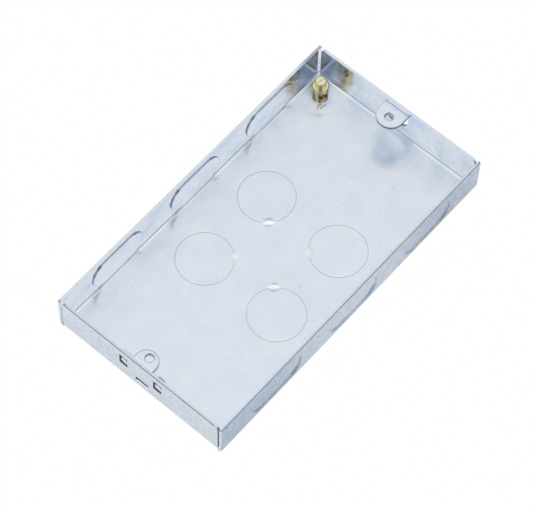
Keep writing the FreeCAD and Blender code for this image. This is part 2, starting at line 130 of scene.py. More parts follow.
# How much of a mark shows
FAR_RIM_SHARE = 0.05
# Painted shade at the far corner of the +Y rim
FAR_CORNER_SHADE_SHARE = 0.75
# Painted shade on the top of the tongue on the -Y side
TONGUE_TOP_SHADE_SHARE = 0.8
# Painted light on the steps
LIT_STEP_SHARE = 0.7
FAINT_TIE_SHARE = 0.3
WORN_LINE_SHARE = 0.35
SLIDING_EDGE_SHARE, FIXED_EDGE_SHARE = 0.55, 0.25

# Marks on the base and the walls
SWELL_MIDDLE = (TERMINAL.x - 1.55, TERMINAL.y - 1.25, 0.0)
# Painted shadow round the terminal's foot, centred on the swell
FOOT_SHADE_FADE = (2.5, 5.4)
# Painted reflection: the fixed lug's reflection on the base is lightened and blued.
LUG_REFLECTION_MIDDLE = (55.0, -4.1, 0.0)
LUG_REFLECTION_FADE = (3.5, 7.5)
# Painted reflection: two dark strokes on the base before the terminal stand in for the pillar's reflection;
# start, end and width of each
PILLAR_REFLECTION_STROKES = (
    ((52.4, 24.9), (54.6, 25.5), 0.35),
    ((53.2, 24.2), (56.4, 23.6), 0.4),
)
NICK_X, NICK_Z = -62.8, RIM_Z - 1.0
NICK_FADE = (0.4, 0.9)
# Painted shade on the -Y outer wall towards its ends: distances from the middle, then how much shows
END_SHADE_X = (8.0, 50.0, 0.35, 1.0)
# Band of the base next to the bends: it lifts a little, and carries a painted highlight
BEND_RISE = 0.07
BEND_FADE = (-2.2, -1.55)
TIE_SQUASH = (0.6, 0.4)
TIE_FADE = (0.75, 1.1)
TIE_PRESS_FADE = (0.3, 1.1)
TIE_INNER_FROM = (0.0, 0.5)
TIE_SLANT = (0.18, 0.145)
LINE_FADE = (0.1, 0.3)
LINE_WORN_X = (-25.0, 0.0)
LUG_EDGE_FADE = (0.2, 0.5)
LUG_TOP_DEPTH = 0.3
STROKE_CORE, STROKE_END = 0.3, 0.55
CREASE_FADE = (SHEET - 0.06, SHEET - 0.015)

# Marks of the mill and the lathe: label, then waves per millimetre across and along
ROLLED_WAVES = (("Lines", 1.9, 0.06), ("Bands", 0.42, 0.02))
CLOUD_SCALE, CLOUD_DETAIL = 0.11, 3.0
GRAIN_SCALE, GRAIN_DETAIL = 0.55, 6.0
SPECK_SCALE, SPECK_RARITY, SPECK_FADE = 0.3, 0.84, (0.05, 0.12)
RING_WAVES = 6.0
STAIN_SCALE, STAIN_DETAIL = 0.9, 3.0

# Ranges of a mark, each with the range that it is taken to where that isn't 0 to 1
CLOUDED = (0.35, 0.6)
ZINC_CLOUDS = (0.35, 0.65)
WORN_BY_CLOUD, WORN_BASE = (0.28, 0.06), 0.03
UNEVEN_BY_CLOUD, UNEVEN_OUTSIDE, UNEVEN_BASE = (0.4, 0.12), 0.7, 0.07
LINES_SHOWN = (0.38, 0.66)
BANDS_SHOWN = (0.40, 0.68)
GRAIN_SHOWN = (0.44, 0.66)
GRAIN_END_SHADE = (0.3, 0.7, 0.6, 1.0)
CLOUDS_ROUGH = (0.3, 0.7, 0.03, -0.03)
LINES_ROUGH = (0.3, 0.7, -0.3, 1.0)
ROUND_END_DARK = (0.15, 0.6, 0.9, 0.3)
# Painted light on the round ends of the inner cut faces
ROUND_END_LIT = (0.15, 0.5, 0.0, 0.6)
STAINS_SHOWN = (0.4, 0.65)
STAINS_ROUGH = (0.35, 0.7, 0.14, 0.3)
RINGS_SHOWN = (0.45, 0.7, 0.0, 0.3)
# Painted shade on the pillar's side towards the box's corner
CORNER_SIDE_SHADE_SHOWN = (0.0, 0.5, 0.0, 0.75)

# Tones of the zinc
ZINC, ZINC_PALE = (0.86, 0.885, 0.92, 1.0), (0.895, 0.91, 0.93, 1.0)
ZINC_OUTSIDE = (0.90, 0.96, 1.0, 1.0)
ZINC_WALL = (0.90, 0.94, 0.98, 1.0)
ROLLED_BLUE = (0.74, 0.81, 0.88, 1.0)
GRAIN_BLUE = (0.66, 0.76, 0.87, 1.0)
END_SHADE_BLUE = (0.43, 0.53, 0.67, 1.0)
SPECK_GREY = (0.36, 0.40, 0.47, 1.0)
SHEAR_LINE = (0.36, 0.43, 0.52, 1.0)
NICK_BLACK = (0.12, 0.14, 0.18, 1.0)
# Painted shade along the lugs' rounded edges
LUG_EDGE_SHADE = (0.33, 0.38, 0.46, 1.0)
LUG_REFLECTION_BLUE = (0.84, 0.92, 1.0, 1.0)
FOOT_SHADE_GREY = (0.74, 0.77, 0.82, 1.0)
PILLAR_REFLECTION_DARK = (0.22, 0.24, 0.34, 1.0)
# Painted shade in the creases round the blanks in the base
CREASE_SHADE_GREY = (0.50, 0.56, 0.64, 1.0)
TIE_GREY = (0.74, 0.79, 0.86, 1.0)
# Painted shade on the rims, over a faint grey of bare cut steel
RIM_CUT_AND_SHADE_GREY = (0.30, 0.33, 0.38, 1.0)
# Dark bare cut steel, with painted shade at the near corner gap and on a tongue top
CUT_AND_SHADE_GREY = (0.20, 0.24, 0.31, 1.0)

# Gloss and relief of the zinc: on the walls, then on the base
ROUGH_WALL, ROUGH_BASE, ROUGH_CUT = 0.07, 0.25, 0.55
LINE_ROUGH_WALL, LINE_ROUGH_BASE = 0.1, 0.02
SOFT_WALL, SOFT_BASE = 0.22 * MM, 0.03 * MM
WAVE_WALL, WAVE_BASE = 1.0, 0.35
WAVE_HEIGHT = 0.02 * MM
FINE_HEIGHT = 0.006 * MM
FINE_BASE = 0.12

# Tones, gloss and relief of the brass
PILLAR_BRIGHT, PILLAR_DULL = (0.86, 0.71, 0.36, 1.0), (0.64, 0.48, 0.20, 1.0)
SCREW_BRIGHT, SCREW_DULL = (1.0, 0.94, 0.60, 1.0), (0.98, 0.86, 0.46, 1.0)
RING_BRASS = (0.72, 0.56, 0.28, 1.0)
COLLAR_BRASS = (1.0, 0.92, 0.60, 1.0)
# Painted shade in the wire hole and screw bore
RECESS_SHADE_BROWN = (0.62, 0.40, 0.16, 1.0)
CORNER_SIDE_SHADE_GREY = (0.27, 0.31, 0.37, 1.0)
COLLAR_HEIGHT, COLLAR_SHARE = 1.45, 0.6
RECESS_FADE, RECESS_SHARE = (2.4, 2.9), 0.7
SOFT_BRASS = 0.12 * MM
RING_HEIGHT = 0.012 * MM

SMOOTH_ANGLE = math.radians(40.0)
VECTOR, FLOAT = "NodeSocketVector", "NodeSocketFloat"


def on_camera_side(elevation):
    """Unit vector from the box, on the side of the camera, at that elevation."""
    level = math.cos(elevation)
    return Vector((
        math.sin(CAMERA_AZIMUTH) * level,
        -math.cos(CAMERA_AZIMUTH) * level,
        math.sin(elevation),
    ))


def make_camera():
    towards = on_camera_side(CAMERA_ELEVATION)
    turn = towards.to_track_quat("Z", "Y").to_matrix().to_4x4()
    data = bpy.data.cameras.new("camera")
    data.lens = CAMERA_LENS
    data.sensor_width = SENSOR_WIDTH
    camera = bpy.data.objects.new("camera", data)
    bpy.context.scene.collection.objects.link(camera)
    place = Matrix.Translation(CAMERA_AIM + towards * CAMERA_DISTANCE)
    camera.matrix_world = place @ turn @ Matrix.Rotation(CAMERA_ROLL, 4, "Z")
    bpy.context.scene.camera = camera


class Nodes:
    """A node tree, with short calls that add nodes and feed their inputs."""

    def __init__(self, tree):
        self.tree = tree

    def feed(self, socket, value):
        if isinstance(value, bpy.types.NodeSocket):
            self.tree.links.new(value, socket)
        else:
            socket.default_value = value

    def add(self, kind, inputs=None, **settings):
        """Node of that kind. Each input is a value, or the output socket that feeds it."""
        node = self.tree.nodes.new(kind)
        for name, value in settings.items():
            setattr(node, name, value)
        for name, value in (inputs or {}).items():
            self.feed(node.inputs[name], value)
        return node

    def maths(self, operation, *values):
        inputs = dict(enumerate(values))
        return self.add("ShaderNodeMath", inputs, operation=operation).outputs[0]

    def plus(self, first, second):
        return self.maths("ADD", first, second)

    def minus(self, first, second):
        return self.maths("SUBTRACT", first, second)

    def absolute(self, value):
        return self.maths("ABSOLUTE", value)

    def beyond(self, value, limit):
        return self.maths("GREATER_THAN", value, limit)

    def below(self, value, limit):
        return self.maths("LESS_THAN", value, limit)

    def between(self, value, low, high):
        return self.product(self.beyond(value, low), self.below(value, high))

    def others(self, mask):
        """What a mask leaves out."""
        return self.minus(1.0, mask)

    def product(self, *values):
        total = values[0]
        for value in values[1:]:
            total = self.maths("MULTIPLY", total, value)
        return total

    def largest(self, *values):
        total = values[0]
        for value in values[1:]:
            total = self.maths("MAXIMUM", total, value)
        return total

    def vector(self, operation, *values):
        inputs = dict(enumerate(values))
        node = self.add("ShaderNodeVectorMath", inputs, operation=operation)
        return node.outputs["Value" if operation in ("DOT_PRODUCT", "LENGTH", "DISTANCE") else "Vector"]

    def axes(self, vector):
        node = self.add("ShaderNodeSeparateXYZ", {"Vector": vector})
        return node.outputs[0], node.outputs[1], node.outputs[2]

    def join(self, x, y, z):
        return self.add("ShaderNodeCombineXYZ", {"X": x, "Y": y, "Z": z}).outputs[0]

    def reach(self, first, second):
        """Length of a line that goes that far in two directions."""
        return self.vector("LENGTH", self.join(first, second, 0.0))

    def ramp(self, value, low, high, to_low=0.0, to_high=1.0):
        """Value taken smoothly from one range to another, and held at both ends."""
        inputs = {"Value": value, "From Min": low, "From Max": high, "To Min": to_low, "To Max": to_high}
        return self.add("ShaderNodeMapRange", inputs, interpolation_type="SMOOTHSTEP").outputs["Result"]

    def fade(self, value, low, high):
        """Whole up to the low value, and gone from the high one."""
        return self.ramp(value, low, high, 1.0, 0.0)

    def mix(self, factor, first, second):
        """Colour between first and second."""
        node = self.add("ShaderNodeMix", data_type="RGBA")
        for socket, value in zip((node.inputs[0], node.inputs[6], node.inputs[7]), (factor, first, second)):
            self.feed(socket, value)
        return node.outputs[2]

    def blend(self, factor, first, second):
        """Number between first and second."""
        node = self.add("ShaderNodeMix", data_type="FLOAT")
        for socket, value in zip((node.inputs[0], node.inputs[2], node.inputs[3]), (factor, first, second)):
            self.feed(socket, value)
        return node.outputs[0]

    def noise(self, vector, scale, detail=2.0):
        inputs = {"Vector": vector, "Scale": scale, "Detail": detail}
        return self.add("ShaderNodeTexNoise", inputs).outputs["Fac"]

    def soft_edge(self, radius):
        return self.add("ShaderNodeBevel", {"Radius": radius}).outputs[0]

    def bump(self, height, distance, normal):
        """Normal tilted by a height, of which one unit stands for that distance."""
        inputs = {"Strength": 1.0, "Distance": distance, "Height": height, "Normal": normal}
        return self.add("ShaderNodeBump", inputs).outputs[0]


def make_world():
    """Bright even surroundings, dim at the horizon and dark round the place of the camera."""
    world = bpy.data.worlds.new("surroundings")
    bpy.context.scene.world = world
    world.use_nodes = True
    world.node_tree.nodes.clear()
    nodes = Nodes(world.node_tree)
    direction = nodes.add("ShaderNodeTexCoord").outputs["Generated"]
    height = nodes.axes(direction)[2]
    risen = nodes.ramp(height, math.sin(HORIZON_FROM), math.sin(HORIZON_TOP))
    colour = nodes.mix(risen, HORIZON_COLOUR, SKY_COLOUR)
    colour = nodes.mix(nodes.ramp(height, math.sin(OVERHEAD_FROM), 1.0), colour, OVERHEAD_COLOUR)
    facing = nodes.vector("DOT_PRODUCT", direction, tuple(on_camera_side(DARK_ELEVATION)))
    dark = nodes.ramp(facing, math.cos(DARK_EDGE), math.cos(DARK_CORE))
    background = nodes.add("ShaderNodeBackground", {"Color": nodes.mix(dark, colour, DARK_COLOUR)})
    nodes.add("ShaderNodeOutputWorld", {"Surface": background.outputs[0]})


def make_floor():
    """White floor, whose white shows to the camera and, in part, in the metal."""
    bpy.ops.object.select_all(action="DESELECT")
    bpy.ops.mesh.primitive_plane_add(size=FLOOR_SIZE)
    floor = bpy.context.object
    floor.name = "floor"
    material = bpy.data.materials.new("floor_white")
    material.use_nodes = True
    material.node_tree.nodes.clear()
    nodes = Nodes(material.node_tree)
    path = nodes.add("ShaderNodeLightPath").outputs
    seen = nodes.product(path["Is Camera Ray"], FLOOR_WHITE_SEEN)
    mirrored = nodes.largest(path["Is Glossy Ray"], path["Is Transmission Ray"])
    white = nodes.largest(seen, nodes.product(mirrored, FLOOR_WHITE_MIRRORED))
    plain = nodes.add("ShaderNodeBsdfDiffuse", {"Color": FLOOR_COLOUR})
    glow = nodes.add("ShaderNodeEmission", {"Strength": 1.0})
    surface = nodes.add("ShaderNodeMixShader", {0: white, 1: plain.outputs[0], 2: glow.outputs[0]})
    nodes.add("ShaderNodeOutputMaterial", {"Surface": surface.outputs[0]})
    floor.data.materials.append(material)


def new_group(name, inputs, outputs):
    """Shader node group with named sockets. Returns its nodes, its inputs and its output node."""
    tree = bpy.data.node_groups.new(name, "ShaderNodeTree")
    for label, kind in inputs:
        tree.interface.new_socket(label, in_out="INPUT", socket_type=kind)
    for label, kind in outputs:
        tree.interface.new_socket(label, in_out="OUTPUT", socket_type=kind)
    nodes = Nodes(tree)
    return nodes, nodes.add("NodeGroupInput").outputs, nodes.add("NodeGroupOutput")


def group_rolled_sheet():
    """Marks of the rolling mill: lines along the sheet, soft clouds and small specks."""
    nodes, given, made = new_group(
        "rolled_sheet",
        [("Place", VECTOR), ("Normal", VECTOR)],
        [("Lines", FLOAT), ("Bands", FLOAT), ("Clouds", FLOAT), ("Grain", FLOAT), ("Specks", FLOAT)],
    )
    place = given["Place"]
    upright = nodes.ramp(nodes.absolute(nodes.axes(given["Normal"])[0]), *UPRIGHT_FACING)
    for label, across, along in ROLLED_WAVES:
        lying = nodes.noise(nodes.vector("MULTIPLY", place, (along, across, across)), 1.0)
        standing = nodes.noise(nodes.vector("MULTIPLY", place, (across, across, along)), 1.0)
        nodes.feed(made.inputs[label], nodes.blend(upright, lying, standing))
    nodes.feed(made.inputs["Clouds"], nodes.noise(place, CLOUD_SCALE, CLOUD_DETAIL))
    nodes.feed(made.inputs["Grain"], nodes.noise(place, GRAIN_SCALE, GRAIN_DETAIL))
    cells = nodes.add("ShaderNodeTexVoronoi", {"Vector": place, "Scale": SPECK_SCALE})
    rare = nodes.beyond(nodes.axes(cells.outputs["Color"])[0], SPECK_RARITY)
    spot = nodes.fade(cells.outputs["Distance"], *SPECK_FADE)
    nodes.feed(made.inputs["Specks"], nodes.product(rare, spot))
    return nodes.tree


def group_sheared_edges():
    """Masks of the cut faces of the sheet: bare cut steel on the rims with painted shade on the near rims'
    outer edge and at the far corner, other dark cuts with painted shade at the near corner gap and on a
    tongue top, and painted light on steps and on the lit side of the lug hole.
    """
    nodes, given, made = new_group(
        "sheared_edges",
        [("Place", VECTOR), ("Normal", VECTOR)],
        [("RimCutAndShade", FLOAT), ("CutAndShade", FLOAT), ("LitStep", FLOAT)],
    )
    beyond, below, between = nodes.beyond, nodes.below, nodes.between
    from_x, from_y, _ = nodes.axes(given["Place"])
    x, y, z = nodes.axes(nodes.vector("ABSOLUTE", given["Place"]))
    facing_x, _, facing_up = nodes.axes(given["Normal"])
    across_x, across_y, across_z = nodes.axes(nodes.vector("ABSOLUTE", given["Normal"]))
    minus_side = below(from_y, 0.0)
    standing = between(z, BEND, RIM_Z - SLACK)
    edge_of_level = nodes.fade(across_z, *EDGEWISE)

    end_wall = nodes.product(
        beyond(x, END_X - END_WALL_DEPTH), below(y, END_CUTS_REACH), between(z, LIP_Z - SLACK, END_CUTS_TOP))
    tongue = between(z, TONGUE_TOP - TONGUE_HEIGHT, TONGUE_TOP - SLACK)
    ends = nodes.product(end_wall, nodes.fade(across_x, *EDGEWISE), nodes.others(tongue))
    # Painted shade: the faces of the open corner gap on the -Y side are darkened.
    corners = nodes.product(
        beyond(x, END_X - CORNER_DEPTH), between(y, *CORNER_GAP), minus_side,
        beyond(across_y, CORNER_FACING), standing)

    side_cut = nodes.product(
        beyond(y, SIDE_Y - SIDE_WALL_DEPTH), below(x, END_X - SHEET), standing,
        nodes.fade(across_y, *EDGEWISE))
    not_under = nodes.others(below(facing_up, DOWN_FACING))
    inner_cut = nodes.product(side_cut, beyond(from_y, SIDE_Y - INNER_FACE_DEPTH), not_under)
    sides = nodes.product(inner_cut, nodes.ramp(across_x, *ROUND_END_DARK))
    # Painted light: the inner cut faces are lightened at the round ends of the blanks, and the cut faces on
    # the -Y wall all over.
    inner_lit_step = nodes.product(inner_cut, nodes.ramp(across_x, *ROUND_END_LIT))
    outer_lit_step = nodes.product(side_cut, minus_side)

    in_hole = below(nodes.reach(nodes.minus(x, LUG_HOLE_X), y), LUG_HOLE_REACH)
    hole_wall = nodes.product(in_hole, beyond(z, LUG_TOP - LUG_HOLE_DEPTH), edge_of_level)
    lit_wall = nodes.product(hole_wall, nodes.fade(facing_x, *LIT_FACING))
    over_base = nodes.product(below(x, END_X - BEND), below(y, SIDE_Y - BEND))
    tab = nodes.product(
        beyond(z, LUG_SIDES_FROM), below(x, END_X - END_WALL_DEPTH), over_base, edge_of_level,
        nodes.others(lit_wall))

    # Painted shade: the outer edge of the rims of the two near walls, and the +Y rim towards its +X end, are
    # darkened; the other rims keep only a faint grey of bare cut steel.
    from_outside = nodes.maths("MINIMUM", nodes.minus(END_X, x), nodes.minus(SIDE_Y, y))
    near_side = nodes.largest(below(from_x, SHEET - END_X), below(from_y, SHEET - SIDE_Y))
    near_rim = nodes.product(near_side, nodes.fade(from_outside, *RIM_SHADE_WIDTH))
    far_rim = nodes.product(nodes.others(near_side), FAR_RIM_SHARE)
    far_corner_shade = nodes.product(
        beyond(from_y, SIDE_Y - SHEET), nodes.ramp(from_x, *FAR_CORNER_X), FAR_CORNER_SHADE_SHARE)
    rim = nodes.product(beyond(z, RIM_Z - SLACK), nodes.largest(near_rim, far_rim, far_corner_shade))

    # Painted shade: the top face of the tongue on the -Y side is darkened like a shadowed gap under the rim.
    tongue_top_shade = nodes.product(
        between(z, TONGUE_TOP - SLACK, TONGUE_TOP + SLACK), minus_side,
        below(from_x, TONGUE_TOP_REACH - END_X), beyond(across_z, LEVEL_FACING), TONGUE_TOP_SHADE_SHARE)

    nodes.feed(made.inputs["RimCutAndShade"], rim)
    nodes.feed(made.inputs["CutAndShade"], nodes.largest(ends, sides, tab, corners, tongue_top_shade))
    nodes.feed(made.inputs["LitStep"], nodes.largest(outer_lit_step, inner_lit_step, lit_wall))
    return nodes.tree


def group_turned_marks():
    """Rings left by the lathe round the axis of a turned piece, in millimetres from that axis."""
    nodes, given, made = new_group("turned_marks", [("Place", VECTOR)], [("Rings", FLOAT), ("Stains", FLOAT)])
    x, y, z = nodes.axes(given["Place"])
    outwards = nodes.product(nodes.reach(x, y), RING_WAVES)
    upwards = nodes.product(z, RING_WAVES)
    nodes.feed(made.inputs["Rings"], nodes.noise(nodes.join(outwards, 0.0, upwards), 1.0))
    nodes.feed(made.inputs["Stains"], nodes.noise(given["Place"], STAIN_SCALE, STAIN_DETAIL))
    return nodes.tree


def new_material(name):
    material = bpy.data.materials.new(name)
    material.use_nodes = True
    nodes = Nodes(material.node_tree)
    return material, nodes, material.node_tree.nodes["Principled BSDF"]


def place_in_mm(nodes, middle=(0.0, 0.0, 0.0)):
    """Point of the surface, in millimetres from a middle, and the object-space normal."""
    coordinates = nodes.add("ShaderNodeTexCoord").outputs
    inputs = {"Vector": coordinates["Object"], "Scale": 1.0 / MM}
    scaled = nodes.add("ShaderNodeVectorMath", inputs, operation="SCALE").outputs["Vector"]
    return nodes.vector("SUBTRACT", scaled, middle), coordinates["Normal"]


def use_group(nodes, tree, **inputs):
    node = nodes.add("ShaderNodeGroup", node_tree=tree)
    for name, value in inputs.items():
        nodes.feed(node.inputs[name], value)
    return node.outputs


def tie_marks(nodes, place, on_base):
    """Masks of the marks at the ties: outside each blank, inside it, both, and how far each is pressed."""
    shifted = nodes.vector("SUBTRACT", place, BLANKS_MIDDLE)
    along = nodes.absolute(nodes.vector("DOT_PRODUCT", shifted, (DIAGONAL, DIAGONAL, 0.0)))
    across = nodes.absolute(nodes.vector("DOT_PRODUCT", shifted, (-DIAGONAL, DIAGONAL, 0.0)))
    outward = nodes.minus(nodes.largest(along, across), TIE_FROM_MIDDLE)
    sideways = nodes.maths("MINIMUM", along, across)
    reach = nodes.reach(nodes.product(outward, TIE_SQUASH[0]), nodes.product(sideways, TIE_SQUASH[1]))
    strength = nodes.product(on_base, nodes.blend(nodes.beyond(along, across), FAINT_TIE_SHARE, 1.0))
    pressed = nodes.product(strength, nodes.fade(reach, *TIE_PRESS_FADE))
    tied = nodes.fade(reach, *TIE_FADE)
    inner = nodes.ramp(outward, *TIE_INNER_FROM)
    bright = nodes.product(strength, tied, nodes.others(inner))
    grey = nodes.product(strength, tied, inner)
    return bright, grey, tied, pressed


def tie_facet(nodes, place, mark):
    """Height, in millimetres, of the slanting floor of the press marks."""
    x, y, _ = nodes.axes(nodes.vector("SUBTRACT", place, BLANKS_MIDDLE))
    rises = []
    for value, slant in zip((x, y), TIE_SLANT):
        middle = nodes.product(nodes.maths("SIGN", value), TIE_FROM_MIDDLE * DIAGONAL)
        rises.append(nodes.product(nodes.minus(value, middle), slant))
    return nodes.product(mark, nodes.plus(*rises))


def blank_lines(nodes, place, normal):
    """Mask of the thin shear line round the long blanks, on both faces of the long walls."""
    x, y, z = nodes.axes(place)
    facing_y = nodes.axes(normal)[1]
    blank = nodes.product(nodes.maths("ROUND", nodes.product(x, 1.0 / LONG_PITCH)), LONG_PITCH)
    from_blank = nodes.minus(x, blank)
    past = nodes.largest(nodes.minus(nodes.absolute(from_blank), LONG_STRAIGHT), 0.0)
    reach = nodes.reach(past, nodes.minus(z, LONG_LEVEL))
    endwards = nodes.maths("DIVIDE", past, nodes.largest(reach, SHEET))
    narrowed = nodes.product(endwards, nodes.below(from_blank, 0.0))
    away = nodes.product(nodes.absolute(nodes.minus(reach, LONG_RADIUS)), nodes.plus(1.0, narrowed))
    on_wall = nodes.beyond(nodes.absolute(facing_y), WALL_FACING)
    outer_far = nodes.product(
        nodes.below(facing_y, -WALL_FACING), nodes.ramp(x, *LINE_WORN_X), nodes.below(y, 0.0))
    share = nodes.blend(outer_far, 1.0, WORN_LINE_SHARE)
    return nodes.product(on_wall, share, nodes.fade(away, *LINE_FADE))


def lug_edge_shade(nodes, place, facing_up):
    """Mask of painted shade along the rounded top edge of both screw lugs."""
    x, y, z = nodes.axes(place)
    fixed = nodes.beyond(x, 0.0)
    middle = nodes.blend(fixed, SLIDING_MIDDLE, FIXED_MIDDLE)
    radius = nodes.blend(fixed, SLIDING_RADIUS, FIXED_RADIUS)
    past = nodes.largest(nodes.minus(middle, nodes.absolute(x)), 0.0)
    inset = nodes.minus(radius, nodes.reach(past, y))
    near_top = nodes.between(z, LUG_TOP - LUG_TOP_DEPTH, LUG_TOP + SLACK)
    top = nodes.product(near_top, nodes.beyond(facing_up, HALF_FACING))
    share = nodes.blend(fixed, SLIDING_EDGE_SHARE, FIXED_EDGE_SHARE)
    return nodes.product(top, nodes.fade(inset, *LUG_EDGE_FADE), share)


def stroke(nodes, place, start, end, width):
    """Mask of a short straight mark on the base, between two points in millimetres."""
    run = Vector(end) - Vector(start)
    middle = (Vector(end) + Vector(start)) / 2
    from_middle = nodes.vector("SUBTRACT", place, (middle.x, middle.y, 0.0))
    lengthwise = (*run.normalized(), 0.0)
    crosswise = (*run.orthogonal().normalized(), 0.0)
    along = nodes.absolute(nodes.vector("DOT_PRODUCT", from_middle, lengthwise))
    side = nodes.absolute(nodes.vector("DOT_PRODUCT", from_middle, crosswise))
    ends = nodes.fade(along, run.length * STROKE_CORE, run.length * STROKE_END)
    return nodes.product(ends, nodes.fade(side, width * STROKE_CORE, width))


def near_bends(nodes, place, on_base):
    """Mask of the base where it lifts towards the bends of the walls, and where a highlight is painted along
    them.
    """
    x, y, _ = nodes.axes(nodes.vector("ABSOLUTE", place))
    outwards = nodes.largest(nodes.minus(x, END_X), nodes.minus(y, SIDE_Y))
    return nodes.product(on_base, nodes.ramp(outwards, *BEND_FADE))


def read_sheet(nodes, groups):
    """Values and masks, at a point of the sheet, from which its colour, gloss and relief are made."""
    at = SimpleNamespace()
    at.place, at.normal = place_in_mm(nodes)
    rolled = use_group(nodes, groups["rolled_sheet"], Place=at.place, Normal=at.normal)
    at.lines, at.bands, at.clouds, at.grain, at.specks = rolled
    at.rim, at.cut, at.step = use_group(nodes, groups["sheared_edges"], Place=at.place, Normal=at.normal)
    at.x, y, at.height = nodes.axes(at.place)
    _, facing_y, at.facing_up = nodes.axes(at.normal)
    at.flat = nodes.ramp(at.facing_up, *FLAT_FACING)
    at.on_base = nodes.product(at.flat, nodes.below(at.height, BASE_BELOW))
    beyond_x = nodes.beyond(nodes.absolute(at.x), END_X - SLACK)
    beyond_y = nodes.beyond(nodes.absolute(y), SIDE_Y - SHEET / 2)
    not_up = nodes.below(at.facing_up, HALF_FACING)
    at.outside = nodes.product(nodes.largest(beyond_x, beyond_y), not_up)
    at.near_outside = nodes.product(at.outside, nodes.below(facing_y, -HALF_FACING))
    at.near_bend = near_bends(nodes, at.place, at.on_base)
    at.bright_tie, at.grey_tie, at.tied, at.pressed_tie = tie_marks(nodes, at.place, at.on_base)
    return at


def zinc_tone(nodes, at):
    """Colour of the zinc. Each layer is a mask, how much of it shows, and its colour."""
    level = nodes.vector("MULTIPLY", at.place, (1.0, 1.0, 0.0))
    inner_wall = nodes.product(nodes.others(at.flat), nodes.others(at.outside))
    wall_tone = nodes.mix(nodes.ramp(at.clouds, *CLOUDED), ZINC_WALL, WHITE)
    worn = nodes.blend(at.flat, nodes.ramp(at.clouds, *CLOUDED, *WORN_BY_CLOUD), WORN_BASE)
    lined = nodes.product(nodes.ramp(at.lines, *LINES_SHOWN), worn)
    banded = nodes.product(nodes.ramp(at.bands, *BANDS_SHOWN), worn)
    uneven_inside = nodes.ramp(at.clouds, *CLOUDED, *UNEVEN_BY_CLOUD)
    uneven_wall = nodes.blend(at.outside, uneven_inside, UNEVEN_OUTSIDE)
    uneven = nodes.blend(at.flat, uneven_wall, UNEVEN_BASE)
    grained = nodes.product(nodes.ramp(at.grain, *GRAIN_SHOWN), uneven)
    # Painted shade: the -Y outer wall darkens in streaks, most towards its ends.
    end_shade = nodes.product(
        at.near_outside, nodes.ramp(nodes.absolute(at.x), *END_SHADE_X),
        nodes.ramp(at.grain, *GRAIN_END_SHADE))
    # Painted highlight: the up-facing lip below the slit in the -X wall is white, and so are the lit steps.
    lip_highlight = nodes.product(
        nodes.below(at.x, LIP_WIDTH - END_X), nodes.between(at.height, LIP_Z - LIP_UNDER, LIP_Z + LIP_OVER),
        nodes.beyond(at.facing_up, HALF_FACING))
    painted_highlight_cuts = nodes.largest(lip_highlight, nodes.product(at.step, LIT_STEP_SHARE))
    from_nick = nodes.reach(nodes.minus(at.x, NICK_X), nodes.minus(at.height, NICK_Z))
    nicked = nodes.product(nodes.fade(from_nick, *NICK_FADE), at.near_outside)
    # Painted reflection: distance from the lug's reflection on the base
    from_lug_reflection = nodes.vector("DISTANCE", level, LUG_REFLECTION_MIDDLE)
    # Painted shadow round the foot of the terminal
    from_foot_shade = nodes.vector("DISTANCE", level, SWELL_MIDDLE)
    # Painted reflection of the pillar on the base
    pillar_reflections = [stroke(nodes, at.place, *reflection_stroke) for reflection_stroke in PILLAR_REFLECTION_STROKES]
    # Painted shade in the creases round the blanks in the base
    crease_shade = nodes.product(at.on_base, nodes.fade(at.height, *CREASE_FADE), nodes.others(at.tied))
    layers = (
        (at.outside, 0.7, ZINC_OUTSIDE),
        (inner_wall, 1.0, wall_tone),
        (lined, 1.0, ROLLED_BLUE),
        (banded, 1.0, ROLLED_BLUE),
        (grained, 1.0, GRAIN_BLUE),
        # Painted shade towards the ends of the -Y outer wall
        (end_shade, 1.0, END_SHADE_BLUE),
        (at.specks, 0.4, SPECK_GREY),
        (blank_lines(nodes, at.place, at.normal), 0.6, SHEAR_LINE),
        # Painted highlight and painted light on cut faces
        (painted_highlight_cuts, 1.0, WHITE),
        (nicked, 0.7, NICK_BLACK),
        # Painted shade along the lugs' rounded edges
        (lug_edge_shade(nodes, at.place, at.facing_up), 1.0, LUG_EDGE_SHADE),
        # Painted reflection of the fixed lug on the base
        (nodes.product(at.on_base, nodes.fade(from_lug_reflection, *LUG_REFLECTION_FADE)), 1.0, LUG_REFLECTION_BLUE),
        # Painted shadow round the foot of the terminal
        (nodes.product(at.on_base, nodes.fade(from_foot_shade, *FOOT_SHADE_FADE)), 0.6, FOOT_SHADE_GREY),
        # Painted reflection of the pillar on the base
        (nodes.product(at.on_base, nodes.largest(*pillar_reflections)), 0.6, PILLAR_REFLECTION_DARK),
        # Painted shade in the creases
        (crease_shade, 0.4, CREASE_SHADE_GREY),
        # Painted highlight along the bends of the walls
        (at.near_bend, 0.9, WHITE),
        (at.bright_tie, 0.9, WHITE),
        (at.grey_tie, 0.7, TIE_GREY),
        # Rims: bare cut steel with painted shade
        (at.rim, 0.7, RIM_CUT_AND_SHADE_GREY),
        # Dark cut faces of bare steel, with painted shade at the near corner gap and on a tongue top
        (at.cut, 0.7, CUT_AND_SHADE_GREY),
    )
    tone = nodes.mix(nodes.ramp(at.clouds, *ZINC_CLOUDS), ZINC, ZINC_PALE)
    for mask, share, colour in layers:
        tone = nodes.mix(nodes.product(mask, share), tone, colour)
    return tone


